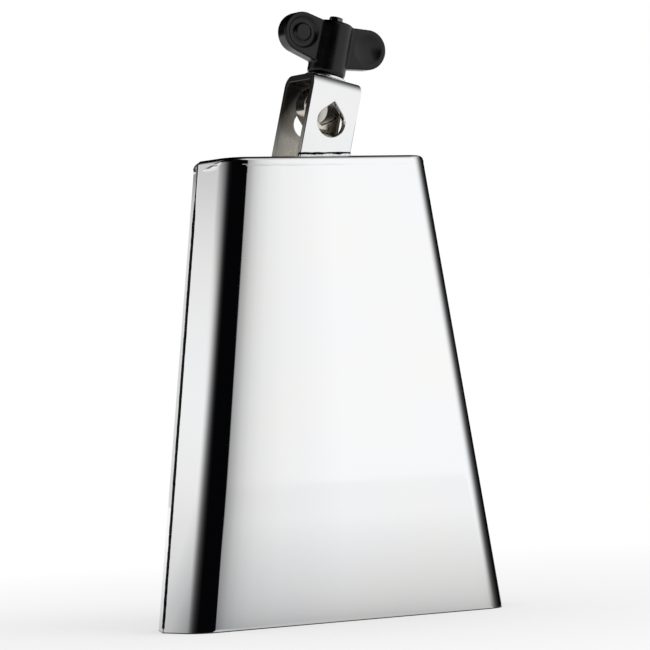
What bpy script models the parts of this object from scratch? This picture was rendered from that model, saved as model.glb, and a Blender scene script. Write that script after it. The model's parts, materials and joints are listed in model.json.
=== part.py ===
"""Timbales cowbell: a folded sheet-steel bell with a rod clamp welded to its crown.

Metres, +Z up. The origin is the middle of the mouth, the bell stands on its mouth rim,
and its playing face looks along -Y. The clamp leans over to +X, and a little to the front.
"""
import math

import bmesh
import bpy
from mathutils import Matrix, Vector

# Bell, folded from one sheet
SHEET = 0.0016
BELL_HEIGHT = 0.203
CROWN_FACE_WIDTH = 0.0795
MOUTH_FACE_WIDTH = 0.1335
CROWN_DEPTH = 0.041
MOUTH_DEPTH = 0.046
SIDE_BEND_INSIDE = 0.0089
CROWN_BEND_INSIDE = 0.0014
FLAP_LEAN = math.radians(17)

# Side seams, where the flaps of the two faces meet
SEAM_ROOT_GAP = 0.0014
SEAM_FACE_GAP = 0.0030
SEAM_CAP = 0.0004
SEAM_STOP = 0.010
SEAM_RISE = 0.0005

# Clamp bracket, a strap bent to a U
CLAMP_OFFSET = 0.0003
CLAMP_TILT = math.radians(13.9)
CLAMP_PITCH = math.radians(2.4)
STRAP = 0.0032
STRAP_WIDTH = 0.0242
BRACKET_DEPTH = 0.0296
BRACKET_HEIGHT = 0.0368
STRAP_BEND_INSIDE = 0.002
ROD_HOLE_RADIUS = 0.0065
ROD_HOLE_VEE = math.radians(90)
ROD_HOLE_HEIGHT = 0.0163
FOOT_WELD = 0.0024

# Eyebolt
SHANK_RADIUS = 0.003
SHANK_CHAMFER = 0.0008
SHANK_PROUD = 0.0026
EYE_RADIUS = 0.0066
EYE_VEE = math.radians(120)
EYE_OUTER_VEE = math.radians(90)
EYE_WALL = 0.003
EYE_THICKNESS = 0.012
EYE_ROUNDING = 0.0012
EYE_HEADROOM = 0.0003

# Washer
WASHER_RADIUS = 0.009
WASHER_THICKNESS = 0.0008

# Wing nut
HUB_BASE_RADIUS = 0.0086
HUB_TOP_RADIUS = 0.0083
HUB_HEIGHT = 0.0243
HUB_ROUNDING = 0.0016
WING_REACH = 0.0163
WING_RADIUS = 0.009
WING_HEIGHT = 0.0159
WING_ROOT_LOW = 0.0045
WING_ROOT_HIGH = 0.0234
WING_THICKNESS = 0.008
WING_ROUNDING = 0.0014
DISH_RADIUS = 0.0066
DISH_FLOOR_RADIUS = 0.0042
DISH_DEPTH = 0.0012
BOSS_RADIUS = 0.0042
INSERT_FLATS = 0.010
INSERT_LENGTH = 0.018

# Clearances: between pieces that touch, and round the screw
FIT_GAP = 0.0003
SCREW_GAP = 0.0003

# Facets
BEND_STEPS = 6
ROUNDING_STEPS = 3
CIRCLE_STEPS = 32
HEX_SIDES = 6
SHARP_ANGLE = math.radians(30)

# How far a cutting tool runs past what it cuts
CUT_MARGIN = 0.002

SIDE_BEND = SIDE_BEND_INSIDE + SHEET
CROWN_BEND = CROWN_BEND_INSIDE + SHEET
WASHER_BASE = BRACKET_HEIGHT + FIT_GAP
HUB_BASE = WASHER_BASE + WASHER_THICKNESS + FIT_GAP
HUB_TOP = HUB_BASE + HUB_HEIGHT
EYE_OUTSIDE = EYE_RADIUS + EYE_WALL
EYE_CENTRE = BRACKET_HEIGHT - STRAP - EYE_HEADROOM - EYE_OUTSIDE
SCREW_BORE = SHANK_RADIUS + SCREW_GAP


def clear_scene():
    for old in list(bpy.data.objects):
        bpy.data.objects.remove(old)


def make_material(name, colour, metallic, roughness):
    material = bpy.data.materials.new(name)
    material.use_nodes = True
    shader = material.node_tree.nodes["Principled BSDF"]
    shader.inputs["Base Color"].default_value = (*colour, 1.0)
    shader.inputs["Metallic"].default_value = metallic
    shader.inputs["Roughness"].default_value = roughness
    return material


def loft(rings, wrap=False):
    """A closed body through rings of equal length; wrap joins the last ring to the first."""
    mesh = bmesh.new()
    loops = [[mesh.verts.new(point) for point in ring] for ring in rings]
    pairs = list(zip(loops, loops[1:]))
    if wrap:
        pairs.append((loops[-1], loops[0]))
    else:
        mesh.faces.new(loops[0])
        mesh.faces.new(loops[-1])
    for low, high in pairs:
        for i in range(len(low)):
            j = (i + 1) % len(low)
            mesh.faces.new((low[i], low[j], high[j], high[i]))
    bmesh.ops.recalc_face_normals(mesh, faces=mesh.faces)
    return mesh


def add_object(name, mesh, material=None, parent=None):
    """A finished piece when it has a material, otherwise a hidden tool for a Boolean."""
    data = bpy.data.meshes.new(name)
    mesh.to_mesh(data)
    mesh.free()
    piece = bpy.data.objects.new(name, data)
    bpy.context.scene.collection.objects.link(piece)
    piece.parent = parent
    if material:
        data.materials.append(material)
        data.shade_smooth()
        data.set_sharp_from_angle(angle=SHARP_ANGLE)
    else:
        piece.hide_render = True
        piece.display_type = "WIRE"
    return piece


def boolean(piece, tool, operation="DIFFERENCE"):
    modifier = piece.modifiers.new(tool.name, "BOOLEAN")
    modifier.operation = operation
    modifier.solver = "EXACT"
    modifier.object = tool


def round_edges(piece, width):
    bevel = piece.modifiers.new("rounded_edges", "BEVEL")
    bevel.width = width
    bevel.segments = ROUNDING_STEPS
    bevel.limit_method = "ANGLE"
    bevel.angle_limit = SHARP_ANGLE


def arc(centre, radius, start, end, steps):
    """Points on an arc, as pairs, from one angle to another with both ends."""
    angles = [start + (end - start) * i / steps for i in range(steps + 1)]
    return [(centre[0] + radius * math.cos(a), centre[1] + radius * math.sin(a)) for a in angles]


def circle(radius, height, steps=CIRCLE_STEPS):
    turn = 2 * math.pi / steps
    return [Vector((radius * math.cos(turn * i), radius * math.sin(turn * i), height)) for i in range(steps)]


def prism_along_y(outline, front, back):
    """An outline of (x, z) pairs, extruded from one depth to another."""
    return loft([[Vector((x, y, z)) for x, z in outline] for y in (front, back)])


def box(low, high):
    outline = [(low[0], low[2]), (high[0], low[2]), (high[0], high[2]), (low[0], high[2])]
    return prism_along_y(outline, low[1], high[1])


def teardrop(radius, vee, centre, tip):
    """A circle drawn out to a point: tip is +1 for a point upwards, -1 for downwards."""
    half = vee / 2
    reach = radius / math.sin(half)
    points = arc((0, 0), radius, math.pi - half, 2 * math.pi + half, CIRCLE_STEPS // 2)
    points.append((0, reach))
    return [(x, centre + tip * z) for x, z in points]


# Bell
def face_width(height):
    return MOUTH_FACE_WIDTH + (CROWN_FACE_WIDTH - MOUTH_FACE_WIDTH) * height / BELL_HEIGHT


def bell_depth(height):
    return MOUTH_DEPTH + (CROWN_DEPTH - MOUTH_DEPTH) * height / BELL_HEIGHT


def ridge_reach(height, inset=0.0):
    """How far out the side ridge stands from the middle, at a height, inside the outer surface."""
    bend = SIDE_BEND - inset
    flap = (bell_depth(height) / 2 - SIDE_BEND + bend * math.sin(FLAP_LEAN)) / math.cos(FLAP_LEAN)
    return face_width(height) / 2 + bend * math.cos(FLAP_LEAN) + flap * math.sin(FLAP_LEAN)


def bell_ring(height, inset):
    """The bell's section at a height: two faces, four bends and a ridge on each narrow side."""
    centre = (face_width(height) / 2, bell_depth(height) / 2 - SIDE_BEND)
    quarter = arc(centre, SIDE_BEND - inset, FLAP_LEAN, math.pi / 2, BEND_STEPS)
    ridge = ridge_reach(height, inset)
    outline = [(ridge, 0.0)] + quarter
    outline += [(-x, y) for x, y in reversed(quarter)]
    outline += [(-ridge, 0.0)] + [(-x, -y) for x, y in quarter]
    outline += [(x, -y) for x, y in reversed(quarter)]
    return [Vector((x, y, height)) for x, y in outline]


def bell_skin(bend):
    """Rings from the mouth to the crown, on the outer or inner surface."""
    spring = BELL_HEIGHT - CROWN_BEND
    rings = [bell_ring(0.0, CROWN_BEND - bend)]
    for along, up in arc((0, 0), bend, 0.0, math.pi / 2, BEND_STEPS):
        height = spring + up
        rings.append([Vector((p.x, p.y, height)) for p in bell_ring(spring, CROWN_BEND - along)])
    return rings


def seam_half_width(depth):
    """Half the slit between two flaps, at a depth below the ridge: it opens towards the outside."""
    slope = (SEAM_FACE_GAP - SEAM_ROOT_GAP) / 2 / SHEET
    return SEAM_FACE_GAP / 2 - slope * depth


def seam_cut(side):
    """The slit between two flaps, open at the mouth and right through the sheet."""
    root = SHEET / math.cos(FLAP_LEAN) + FIT_GAP
    face = -CUT_MARGIN
    rings = []
    for height in (-CUT_MARGIN, BELL_HEIGHT - SEAM_STOP):
        ridge = side * ridge_reach(height)
        outline = [(depth, seam_half_width(depth)) for depth in (root, face)]
        outline += [(depth, -y) for depth, y in reversed(outline)]
        rings.append([Vector((ridge - side * depth, y, height)) for depth, y in outline])
    return loft(rings)


def seam_weld(side):
    """A weld run that fills the slit, with a domed cap a little proud of the ridge."""
    shoulder = SEAM_FACE_GAP / 2 * math.tan(FLAP_LEAN)
    half = seam_half_width(shoulder) - FIT_GAP
    outline = [(SHEET, seam_half_width(SHEET) - FIT_GAP)]
    for i in range(BEND_STEPS + 1):
        across = 1 - 2 * i / BEND_STEPS
        outline.append((across ** 2 * (shoulder + SEAM_CAP) - SEAM_CAP, across * half))
    outline.append((SHEET, -outline[0][1]))
    rings = []
    for height in (SEAM_RISE, BELL_HEIGHT - SEAM_STOP - FIT_GAP):
        ridge = side * ridge_reach(height)
        rings.append([Vector((ridge - side * depth, y, height)) for depth, y in outline])
    return loft(rings)


# Clamp, in the clamp's own frame: x across the strap, y along the rod, z up the screw
def bracket_outline():
    """The U of the strap in (y, z), with legs long enough to be cut off level with the crown."""
    half = BRACKET_DEPTH / 2
    outer = STRAP_BEND_INSIDE + STRAP
    slant = STRAP_WIDTH / 2 * math.tan(CLAMP_TILT) + half * math.tan(CLAMP_PITCH)
    foot = -(slant + CUT_MARGIN)
    corner = (half - outer, BRACKET_HEIGHT - outer)
    side = [(half, foot)] + arc(corner, outer, 0.0, math.pi / 2, BEND_STEPS)
    inside = arc(corner, STRAP_BEND_INSIDE, math.pi / 2, 0.0, BEND_STEPS) + [(half - STRAP, foot)]
    outline = side + [(-y, z) for y, z in reversed(side)]
    return outline + [(-y, z) for y, z in reversed(inside)] + inside


def bracket_mesh():
    outline = bracket_outline()
    ends = (-STRAP_WIDTH / 2, STRAP_WIDTH / 2)
    return loft([[Vector((x, y, z)) for y, z in outline] for x in ends])


def foot_weld(side):
    """A fillet weld along a leg's outer face, on the crown, as wide as the leg's foot."""
    reach = STRAP_WIDTH / 2 / math.cos(CLAMP_TILT)
    base = BELL_HEIGHT + FIT_GAP
    lean = max(0.0, -side * (FIT_GAP + FOOT_WELD) * math.tan(CLAMP_PITCH))
    inner = BRACKET_DEPTH / 2 / math.cos(CLAMP_PITCH) + lean + FIT_GAP
    outline = [(inner, base)]
    outline += [(inner + y, base + z) for y, z in arc((0, 0), FOOT_WELD, 0.0, math.pi / 2, BEND_STEPS)]
    ends = (CLAMP_OFFSET - reach, CLAMP_OFFSET + reach)
    return loft([[Vector((x, side * y, z)) for y, z in outline] for x in ends])


def eye_mesh():
    """The eye: a teardrop loop, point down and thickest there, with its opening along the rod."""
    outer = teardrop(EYE_OUTSIDE, EYE_OUTER_VEE, EYE_CENTRE, -1)
    inner = teardrop(EYE_RADIUS, EYE_VEE, EYE_CENTRE, -1)
    half = EYE_THICKNESS / 2
    corners = ((outer, -half), (outer, half), (inner, half), (inner, -half))
    return loft([[Vector((x, y, z)) for x, z in outline] for outline, y in corners], wrap=True)


def shank_mesh():
    """The screw's shank, from inside the top of the eye to just above the wing nut."""
    root = EYE_CENTRE + EYE_OUTSIDE - EYE_WALL / 2
    tip = HUB_TOP + SHANK_PROUD
    return loft([
        circle(SHANK_RADIUS, root),
        circle(SHANK_RADIUS, tip - SHANK_CHAMFER),
        circle(SHANK_RADIUS - SHANK_CHAMFER, tip),
    ])


def washer_mesh():
    top = WASHER_BASE + WASHER_THICKNESS
    return loft([
        circle(WASHER_RADIUS, WASHER_BASE),
        circle(WASHER_RADIUS, top),
        circle(SCREW_BORE, top),
        circle(SCREW_BORE, WASHER_BASE),
    ], wrap=True)


def hub_mesh():
    """The wing nut's hub: a tapered barrel with a rounded top edge."""
    rings = [circle(HUB_BASE_RADIUS, HUB_BASE)]
    shoulder = (HUB_TOP_RADIUS - HUB_ROUNDING, HUB_TOP - HUB_ROUNDING)
    for radius, height in arc(shoulder, HUB_ROUNDING, 0.0, math.pi / 2, ROUNDING_STEPS):
        rings.append(circle(radius, height))
    return loft(rings)


def tangent_angle(centre, radius, point, turn):
    """Where a tangent from a point touches a circle, as an angle at the circle's centre."""
    x, z = point[0] - centre[0], point[1] - centre[1]
    return math.atan2(z, x) + turn * math.acos(radius / math.hypot(x, z))


def wings_mesh():
    """Both wings as one plate across the hub: each lobe runs down to a taller root inside the hub."""
    lobe = (WING_REACH, HUB_BASE + WING_HEIGHT)
    root = HUB_TOP_RADIUS - WING_ROUNDING
    low = (root, HUB_BASE + WING_ROOT_LOW)
    high = (root, HUB_BASE + WING_ROOT_HIGH)
    start = tangent_angle(lobe, WING_RADIUS, low, 1)
    end = tangent_angle(lobe, WING_RADIUS, high, -1)
    right = [low] + arc(lobe, WING_RADIUS, start, end, 2 * BEND_STEPS) + [high]
    outline = right + [(-x, z) for x, z in reversed(right)]
    return prism_along_y(outline, -WING_THICKNESS / 2, WING_THICKNESS / 2)


def lobe_ring(side, face, radius, depth):
    """A circle on a lobe's face, at a depth below it; face is -1 at the front and +1 behind."""
    y = face * (WING_THICKNESS / 2 - depth)
    middle = HUB_BASE + WING_HEIGHT
    return [Vector((side * WING_REACH + p.x, y, middle + p.y)) for p in circle(radius, 0.0)]


def dish_cut(side, face):
    """A shallow dish for a fingertip, with a sloping wall."""
    return loft([
        lobe_ring(side, face, DISH_RADIUS, -CUT_MARGIN),
        lobe_ring(side, face, DISH_RADIUS, 0.0),
        lobe_ring(side, face, DISH_FLOOR_RADIUS, DISH_DEPTH),
    ])


def boss_dish_cut(side, face):
    """The same dish round a flat raised boss."""
    return loft([
        lobe_ring(side, face, DISH_RADIUS, -CUT_MARGIN),
        lobe_ring(side, face, DISH_RADIUS, 0.0),
        lobe_ring(side, face, (DISH_RADIUS + BOSS_RADIUS) / 2, DISH_DEPTH),
        lobe_ring(side, face, BOSS_RADIUS, 0.0),
        lobe_ring(side, face, BOSS_RADIUS, -CUT_MARGIN),
    ], wrap=True)


def insert_mesh():
    """A hexagonal threaded sleeve, flush with the foot of the hub."""
    corner = INSERT_FLATS / math.sqrt(3)
    steps = CIRCLE_STEPS // HEX_SIDES * HEX_SIDES
    top = HUB_BASE + INSERT_LENGTH
    bore = [circle(SCREW_BORE, z, steps) for z in (top, HUB_BASE)]
    body = [hexagon(corner, z, steps) for z in (HUB_BASE, top)]
    return loft(body + bore, wrap=True)


def hexagon(corner, height, steps):
    """A hexagon through its corner radius, with extra points along its sides."""
    corners = circle(corner, height, HEX_SIDES)
    per_side = steps // HEX_SIDES
    points = []
    for i, start in enumerate(corners):
        end = corners[(i + 1) % HEX_SIDES]
        points += [start.lerp(end, step / per_side) for step in range(per_side)]
    return points


def pocket_cut():
    """The hexagonal pocket in the hub that the insert sits in."""
    corner = (INSERT_FLATS + 2 * FIT_GAP) / math.sqrt(3)
    top = HUB_BASE + INSERT_LENGTH + FIT_GAP
    return loft([circle(corner, z, HEX_SIDES) for z in (HUB_BASE - CUT_MARGIN, top)])


def bore_cut(radius, low, high):
    return loft([circle(radius, z) for z in (low, high)])


def build():
    clear_scene()
    chrome = make_material("chrome", (0.80, 0.81, 0.83), 1.0, 0.06)
    weld = make_material("chromed_weld", (0.45, 0.46, 0.48), 1.0, 0.30)
    nickel = make_material("nickel_steel", (0.70, 0.67, 0.62), 1.0, 0.18)
    zinc = make_material("bright_zinc", (0.75, 0.76, 0.78), 1.0, 0.22)
    plastic = make_material("black_plastic", (0.012, 0.012, 0.014), 0.0, 0.42)
    brass = make_material("insert_brass", (0.72, 0.55, 0.26), 1.0, 0.30)

    # Bell and its side seams
    outside = bell_skin(CROWN_BEND)
    inside = bell_skin(CROWN_BEND_INSIDE)
    bell = add_object("bell_body", loft(list(reversed(outside)) + inside), chrome)
    for name, side in (("left", -1), ("right", 1)):
        boolean(bell, add_object(f"{name}_seam_tool", seam_cut(side)))
        add_object(f"{name}_seam_weld", seam_weld(side), weld)

    # The clamp's frame stands on the crown, with the screw axis as its Z
    clamp = bpy.data.objects.new("clamp_axis", None)
    bpy.context.scene.collection.objects.link(clamp)
    lean = Matrix.Rotation(CLAMP_PITCH, 4, "X") @ Matrix.Rotation(CLAMP_TILT, 4, "Y")
    clamp.matrix_world = Matrix.Translation((CLAMP_OFFSET, 0, BELL_HEIGHT)) @ lean

    bracket = add_object("clamp_bracket", bracket_mesh(), chrome, clamp)
    half_depth = BRACKET_DEPTH / 2 + CUT_MARGIN
    rod_hole = teardrop(ROD_HOLE_RADIUS, ROD_HOLE_VEE, ROD_HOLE_HEIGHT, 1)
    boolean(bracket, add_object("rod_hole_tool", prism_along_y(rod_hole, -half_depth, half_depth), parent=clamp))
    web = (BRACKET_HEIGHT - STRAP - CUT_MARGIN, BRACKET_HEIGHT + CUT_MARGIN)
    boolean(bracket, add_object("screw_hole_tool", bore_cut(SCREW_BORE, *web), parent=clamp))
    level = BELL_HEIGHT + FIT_GAP
    under = box((-STRAP_WIDTH, -half_depth, level - BRACKET_HEIGHT), (STRAP_WIDTH, half_depth, level))
    boolean(bracket, add_object("level_foot_tool", under))
    add_object("bracket_front_weld", foot_weld(-1), weld)
    add_object("bracket_rear_weld", foot_weld(1), weld)

    eyebolt = add_object("eyebolt", eye_mesh(), nickel, clamp)
    round_edges(eyebolt, EYE_ROUNDING)
    boolean(eyebolt, add_object("shank_tool", shank_mesh(), parent=clamp), "UNION")
    add_object("flat_washer", washer_mesh(), zinc, clamp)

    # Wing nut: a moulded grip round a metal insert
    grip = add_object("wing_nut_grip", hub_mesh(), plastic, clamp)
    wings = add_object("wings_tool", wings_mesh(), parent=clamp)
    round_edges(wings, WING_ROUNDING)
    boolean(grip, wings, "UNION")
    for face, where in ((-1, "front"), (1, "rear")):
        boolean(grip, add_object(f"left_{where}_dish_tool", boss_dish_cut(-1, face), parent=clamp))
        boolean(grip, add_object(f"right_{where}_dish_tool", dish_cut(1, face), parent=clamp))
    boolean(grip, add_object("pocket_tool", pocket_cut(), parent=clamp))
    through = bore_cut(SCREW_BORE + SCREW_GAP, HUB_BASE, HUB_TOP + CUT_MARGIN)
    boolean(grip, add_object("grip_bore_tool", through, parent=clamp))
    add_object("wing_nut_insert", insert_mesh(), brass, clamp)


build()
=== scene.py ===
import json
import math

import bmesh
import bpy
from mathutils import Matrix, Vector, noise

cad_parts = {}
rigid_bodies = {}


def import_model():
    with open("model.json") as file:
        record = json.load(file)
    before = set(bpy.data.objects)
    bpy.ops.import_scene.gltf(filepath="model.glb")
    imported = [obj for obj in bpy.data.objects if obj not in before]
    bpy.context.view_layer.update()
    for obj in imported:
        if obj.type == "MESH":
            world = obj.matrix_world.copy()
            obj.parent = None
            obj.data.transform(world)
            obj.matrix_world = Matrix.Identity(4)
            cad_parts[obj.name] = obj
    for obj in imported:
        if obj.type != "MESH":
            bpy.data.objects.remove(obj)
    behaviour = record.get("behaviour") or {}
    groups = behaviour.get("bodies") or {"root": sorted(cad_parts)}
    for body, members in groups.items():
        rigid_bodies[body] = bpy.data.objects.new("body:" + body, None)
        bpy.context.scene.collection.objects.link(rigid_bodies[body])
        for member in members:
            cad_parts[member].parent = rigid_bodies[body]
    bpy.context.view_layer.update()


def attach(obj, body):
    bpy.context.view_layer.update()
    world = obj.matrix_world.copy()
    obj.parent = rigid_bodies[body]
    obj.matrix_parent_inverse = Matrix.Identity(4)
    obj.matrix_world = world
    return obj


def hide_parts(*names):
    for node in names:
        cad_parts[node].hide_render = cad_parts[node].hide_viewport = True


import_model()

mm = 0.001
tiny = 0.001 * mm
mergeWithin = 0.01 * mm
quarter = math.pi / 2
levelFacing = 0.9  # how far a level face's normal points up or down, at least
insideSlot = 1  # the inside's place in a piece's list of finishes
edgeSlot = 2  # and the cut edge's, also used for the painted dark line along the rim


# Modelling helpers

def deselectAll():
    bpy.ops.object.select_all(action="DESELECT")


def takeOnly(piece):
    deselectAll()
    piece.select_set(True)
    bpy.context.view_layer.objects.active = piece


def startPiece(name, addPrimitive, **settings):
    deselectAll()
    addPrimitive(**settings)
    piece = bpy.context.object
    piece.name = name
    settle(piece)
    return piece


def settle(piece):  # the object's place, turn and scale go into its mesh
    takeOnly(piece)
    bpy.ops.object.transform_apply(location=True, rotation=True, scale=True)


def openMesh(piece):
    takeOnly(piece)
    bpy.ops.object.mode_set(mode="EDIT")


def closeMesh():
    bpy.ops.object.mode_set(mode="OBJECT")


def pick(piece, kind, test):  # selects what passes the test, and nothing else
    bpy.ops.mesh.select_mode(type=kind)
    bpy.ops.mesh.select_all(action="DESELECT")
    mesh = bmesh.from_edit_mesh(piece.data)
    mesh.normal_update()
    parts = {"VERT": mesh.verts, "EDGE": mesh.edges, "FACE": mesh.faces}[kind]
    for part in parts:
        if test(part):
            part.select_set(True)
    mesh.select_flush_mode()
    bmesh.update_edit_mesh(piece.data)


def pickAll():
    bpy.ops.mesh.select_all(action="SELECT")


def stretch(x, y, z, about):
    bpy.ops.transform.resize(value=(x, y, z), center_override=about)


def shift(x, y, z):
    bpy.ops.transform.translate(value=(x, y, z))


def drawFaces(x, y, z):
    bpy.ops.mesh.extrude_region_move(TRANSFORM_OT_translate={"value": (x, y, z)})


def drawEdges(x, y, z):
    bpy.ops.mesh.extrude_edges_move(TRANSFORM_OT_translate={"value": (x, y, z)})


def tidyNormals():
    pickAll()
    bpy.ops.mesh.remove_doubles(threshold=mergeWithin)
    bpy.ops.mesh.normals_make_consistent(inside=False)


def modify(piece, kind, **settings):
    takeOnly(piece)
    step = piece.modifiers.new(kind.lower(), kind)
    for key, value in settings.items():
        setattr(step, key, value)
    bpy.ops.object.modifier_apply(modifier=step.name)


def cutAway(piece, tool):
    modify(piece, "BOOLEAN", object=tool, operation="DIFFERENCE", solver="EXACT")
    bpy.data.objects.remove(tool)


def joinTo(piece, *others):
    takeOnly(piece)
    for other in others:
        other.select_set(True)
    bpy.ops.object.join()


def roundEdges(piece, width, steps, overAngle=50):
    modify(piece, "BEVEL", width=width, segments=steps, limit_method="ANGLE",
           angle_limit=math.radians(overAngle), use_clamp_overlap=True)


def edgeEnds(edge):
    return edge.verts[0].co, edge.verts[1].co


def edgeRun(edge):  # how far an edge goes along each axis
    first, second = edgeEnds(edge)
    return first - second


def giveFinishes(piece, *finishes):
    for finish in finishes:
        piece.data.materials.append(finish)


def finishPiece(piece, look, body, nodes, overAngle=35, evenNormals=True):
    settle(piece)
    if not piece.data.materials:
        giveFinishes(piece, look)
    bpy.ops.object.shade_smooth_by_angle(angle=math.radians(overAngle))
    if evenNormals:  # flat faces stay flat in their reflections
        modify(piece, "WEIGHTED_NORMAL", mode="FACE_AREA", weight=60, keep_sharp=True)
    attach(piece, body)
    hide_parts(*nodes)
    print("made", piece.name, len(piece.data.polygons), "faces")


# Node helpers

def addNode(tree, kind, inputs=None, **settings):
    item = tree.nodes.new(kind)
    for key, value in settings.items():
        setattr(item, key, value)
    for key, value in (inputs or {}).items():
        socket = item.inputs[key]
        if isinstance(value, bpy.types.NodeSocket):
            tree.links.new(value, socket)
        else:
            socket.default_value = value
    return item


def startLook(name):
    look = bpy.data.materials.new(name)
    look.use_nodes = True
    tree = look.node_tree
    shader = tree.nodes["Principled BSDF"]
    place = addNode(tree, "ShaderNodeTexCoord").outputs["Object"]
    return look, tree, shader, place


def startEmptyLook(name):
    look = bpy.data.materials.new(name)
    look.use_nodes = True
    look.node_tree.nodes.clear()
    return look, look.node_tree


def addNoise(tree, place, scale, detail, stretchBy=(1, 1, 1)):
    laid = addNode(tree, "ShaderNodeMapping", {"Vector": place, "Scale": stretchBy})
    grain = addNode(tree, "ShaderNodeTexNoise",
                    {"Vector": laid.outputs["Vector"], "Scale": scale, "Detail": detail})
    return grain.outputs["Fac"]


def addRange(tree, value, fromLow, fromHigh, toLow, toHigh):
    remap = addNode(tree, "ShaderNodeMapRange",
                    {"Value": value, "From Min": fromLow, "From Max": fromHigh,
                     "To Min": toLow, "To Max": toHigh})
    return remap.outputs["Result"]


def addBlend(tree, share, first, second):  # a colour between two, by share
    ends = {}
    for socket, colour in ((6, first), (7, second)):
        ends[socket] = colour if isinstance(colour, bpy.types.NodeSocket) else (*colour, 1)
    return addNode(tree, "ShaderNodeMix", {0: share, **ends}, data_type="RGBA").outputs[2]


def addBetween(tree, share, first, second):  # a level between two, by share
    return addNode(tree, "ShaderNodeMix", {0: share, 2: first, 3: second}).outputs[0]


def addTimes(tree, first, second):
    return addNode(tree, "ShaderNodeMath", {0: first, 1: second}, operation="MULTIPLY").outputs[0]


def addFacing(tree, toward, way):  # how far a direction points along a way
    dot = addNode(tree, "ShaderNodeVectorMath", {0: toward, 1: way}, operation="DOT_PRODUCT")
    return dot.outputs["Value"]


def addAxis(tree, place, axis):
    return addNode(tree, "ShaderNodeSeparateXYZ", {0: place}).outputs[axis]


def addMixed(tree, share, first, second):  # a surface between two, by share
    return addNode(tree, "ShaderNodeMixShader", {0: share, 1: first.outputs[0], 2: second.outputs[0]})


def addBump(tree, height, strength, distance, under=None):
    inputs = {"Height": height, "Strength": strength, "Distance": distance}
    if under is not None:
        inputs["Normal"] = under
    return addNode(tree, "ShaderNodeBump", inputs).outputs["Normal"]


def addRamp(tree, value, stops):
    ramp = addNode(tree, "ShaderNodeValToRGB", {"Fac": value})
    band = ramp.color_ramp
    for number, (position, level) in enumerate(stops):
        stop = band.elements[number] if number < 2 else band.elements.new(position)
        stop.position = position
        stop.color = (level, level, level, 1)
    return ramp.outputs["Color"]


# Finishes

colourSpread = (0.35, 0.65)  # the part of a noise's range over which the colour changes
roughSpread = (0.3, 0.7)
# below, a noise is its scale, its detail and how it is stretched, and a bump is its strength and its depth


def finishLook(tree, shader, metallic, colour, roughness, normal=None):
    shader.inputs["Metallic"].default_value = metallic
    tree.links.new(colour, shader.inputs["Base Color"])
    tree.links.new(roughness, shader.inputs["Roughness"])
    if normal is not None:
        tree.links.new(normal, shader.inputs["Normal"])


plating = dict(haze=(21, 5), swell=(13, 1), swellDepth=0.15 * mm, streak=(160, 3, (1, 1, 0.06)),
               streakDepth=0.004 * mm)


def platedLook(name, cool, warm, smooth, dull, wave):
    look, tree, shader, place = startLook(name)
    haze = addNoise(tree, place, *plating["haze"])
    swell = addNoise(tree, place, *plating["swell"])
    streak = addNoise(tree, place, *plating["streak"])
    colour = addBlend(tree, addRange(tree, haze, *colourSpread, 0, 1), cool, warm)
    rough = addRange(tree, haze, *roughSpread, smooth, dull)
    waves = addBump(tree, swell, wave, plating["swellDepth"])
    finishLook(tree, shader, 1, colour, rough, addBump(tree, streak, wave, plating["streakDepth"], waves))
    return look


insidePlating = dict(dull=(0.42, 0.41, 0.40), bright=(0.66, 0.66, 0.67), rough=(0.24, 0.42), bloom=(34, 6),
                     bloomSpread=(0.35, 0.7), drift=(240, 3, (1, 1, 0.15)), driftBump=(0.25, 0.05 * mm))


def rawInsideLook():
    look, tree, shader, place = startLook("dullPlating")
    bloom = addNoise(tree, place, *insidePlating["bloom"])
    drift = addNoise(tree, place, *insidePlating["drift"])
    share = addRange(tree, bloom, *insidePlating["bloomSpread"], 0, 1)
    colour = addBlend(tree, share, insidePlating["dull"], insidePlating["bright"])
    rough = addRange(tree, bloom, *roughSpread, *insidePlating["rough"])
    finishLook(tree, shader, 1, colour, rough, addBump(tree, drift, *insidePlating["driftBump"]))
    return look


insideShade = dict(metallic=0.4, way=(-1.2, 0, 1), cloud=(180, 4), rough=(0.24, 0.36))


def shadedInsideLook(name, bright, dark, brightAt, darkAt):  # painted shade and reflection: bright low down, going dark higher up and towards the left
    look, tree, shader, place = startLook(name)
    cloud = addNoise(tree, place, *insideShade["cloud"])
    shadeShare = addRange(tree, addFacing(tree, place, insideShade["way"]), brightAt, darkAt, 0, 1)
    rough = addRange(tree, cloud, *roughSpread, *insideShade["rough"])
    finishLook(tree, shader, insideShade["metallic"], addBlend(tree, shadeShare, bright, dark), rough)
    return look


weld = dict(pit=(900, 4), pitSpread=(0.35, 0.62), pitDepth=0.12 * mm, toeShadeColour=(0.01, 0.01, 0.01),
            toeSoft=0.2 * mm, sway=(260, 2), swayReach=0.35 * mm)


def weldLook(name, dark, light, smooth, dull, pitting, toe=None):
    look, tree, shader, place = startLook(name)
    pit = addNoise(tree, place, *weld["pit"])
    colour = addBlend(tree, addRange(tree, pit, *weld["pitSpread"], 0, 1), dark, light)
    if toe:  # painted shade: a dark uneven line along the top of the bead
        wander = addNoise(tree, place, *weld["sway"])
        sway = addRange(tree, wander, *roughSpread, -weld["swayReach"], weld["swayReach"])
        swayed = addNode(tree, "ShaderNodeMath", {0: addAxis(tree, place, "Z"), 1: sway}, operation="ADD")
        toeShade = addRange(tree, swayed.outputs[0], toe, toe + weld["toeSoft"], 0, 1)
        colour = addBlend(tree, toeShade, colour, weld["toeShadeColour"])
    rough = addRange(tree, pit, *roughSpread, smooth, dull)
    finishLook(tree, shader, 1, colour, rough, addBump(tree, pit, pitting, weld["pitDepth"]))
    return look


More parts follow.
